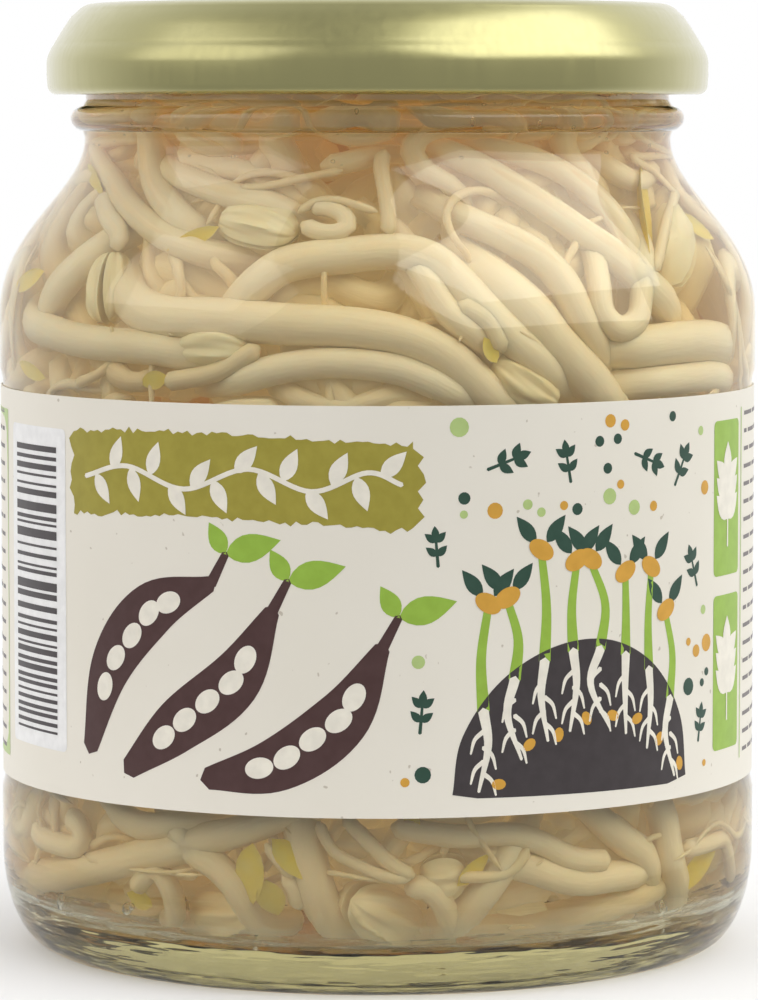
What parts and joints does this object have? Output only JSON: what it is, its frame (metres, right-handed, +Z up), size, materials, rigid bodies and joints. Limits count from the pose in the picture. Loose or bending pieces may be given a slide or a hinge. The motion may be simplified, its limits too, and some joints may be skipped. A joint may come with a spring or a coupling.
{
  "type": "jar of bean sprouts",
  "caption": "Round twist-off glass jar with a gold metal lid and a plain paper label, packed with pale bean sprouts in golden brine.",
  "frame": {"origin": "centre of the jar's foot, on the surface that it stands on", "axes": "+Z up along the jar's axis, the middle of the label faces -Y"},
  "size_m": [0.08, 0.08, 0.0993],
  "materials": {
    "clear_glass": "clear moulded glass with a faint green tint in its thick base",
    "gold_lacquer": "satin gold lacquer over fine-grained sheet steel",
    "seal_compound": "soft off-white compound",
    "label_paper": "smooth cream paper with fine specks and flat printed inks",
    "brine": "clear golden-tan liquid",
    "sprout_flesh": "moist creamy-white stems and cream-yellow beans with small yellow leaves"
  },
  "bodies": {
    "jar": {"glass_jar": "clear_glass", "label": "label_paper", "brine": "brine", "bean_sprouts": "sprout_flesh"},
    "cap": {"lid": "gold_lacquer", "sealing_ring": "seal_compound"}
  },
  "joints": [
    {"name": "lid_twist", "type": "hinge", "parent": "jar", "child": "cap", "pos_m": [0, 0, 0.0955], "axis": [0, 0, 1], "range_deg": [0, 58]}
  ]
}
